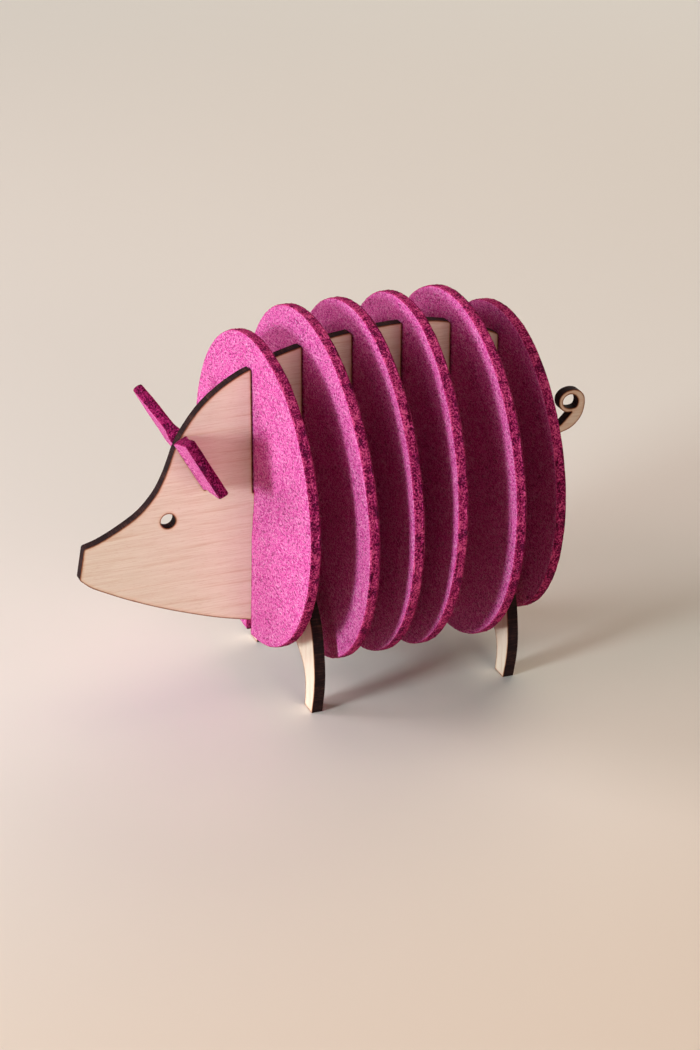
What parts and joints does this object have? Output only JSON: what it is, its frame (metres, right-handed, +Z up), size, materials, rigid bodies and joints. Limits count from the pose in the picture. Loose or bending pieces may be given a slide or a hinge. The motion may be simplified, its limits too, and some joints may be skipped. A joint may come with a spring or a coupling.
{
  "type": "pig coaster holder",
  "caption": "Slot-together wooden pig that stores round felt coasters upright in slots along its back, where they form its barrel; each coaster lifts straight out.",
  "frame": {"origin": "centre of the overall box, on the surface that the feet stand on", "axes": "+X from the snout to the tail, +Z up, the profile panel in the plane Y = 0"},
  "size_m": [0.1519, 0.1, 0.109],
  "materials": {
    "birch_plywood": "fine-sanded and unfinished, edges darkened by the laser",
    "wool_felt": "dense pressed felt dyed magenta, matt"
  },
  "bodies": {
    "stand": {"body_profile": "birch_plywood", "front_legs": "birch_plywood", "rear_legs": "birch_plywood", "ears": "wool_felt"},
    "coaster_1": {"coaster_1": "wool_felt"},
    "coaster_2": {"coaster_2": "wool_felt"},
    "coaster_3": {"coaster_3": "wool_felt"},
    "coaster_4": {"coaster_4": "wool_felt"},
    "coaster_5": {"coaster_5": "wool_felt"},
    "coaster_6": {"coaster_6": "wool_felt"}
  },
  "joints": [
    {"name": "coaster_1_lift", "type": "slide", "parent": "stand", "child": "coaster_1", "axis": [0, 0, 1], "range_m": [0, 0.084]},
    {"name": "coaster_2_lift", "type": "slide", "parent": "stand", "child": "coaster_2", "axis": [0, 0, 1], "range_m": [0, 0.096]},
    {"name": "coaster_3_lift", "type": "slide", "parent": "stand", "child": "coaster_3", "axis": [0, 0, 1], "range_m": [0, 0.096]},
    {"name": "coaster_4_lift", "type": "slide", "parent": "stand", "child": "coaster_4", "axis": [0, 0, 1], "range_m": [0, 0.096]},
    {"name": "coaster_5_lift", "type": "slide", "parent": "stand", "child": "coaster_5", "axis": [0, 0, 1], "range_m": [0, 0.096]},
    {"name": "coaster_6_lift", "type": "slide", "parent": "stand", "child": "coaster_6", "axis": [0, 0, 1], "range_m": [0, 0.084]}
  ]
}
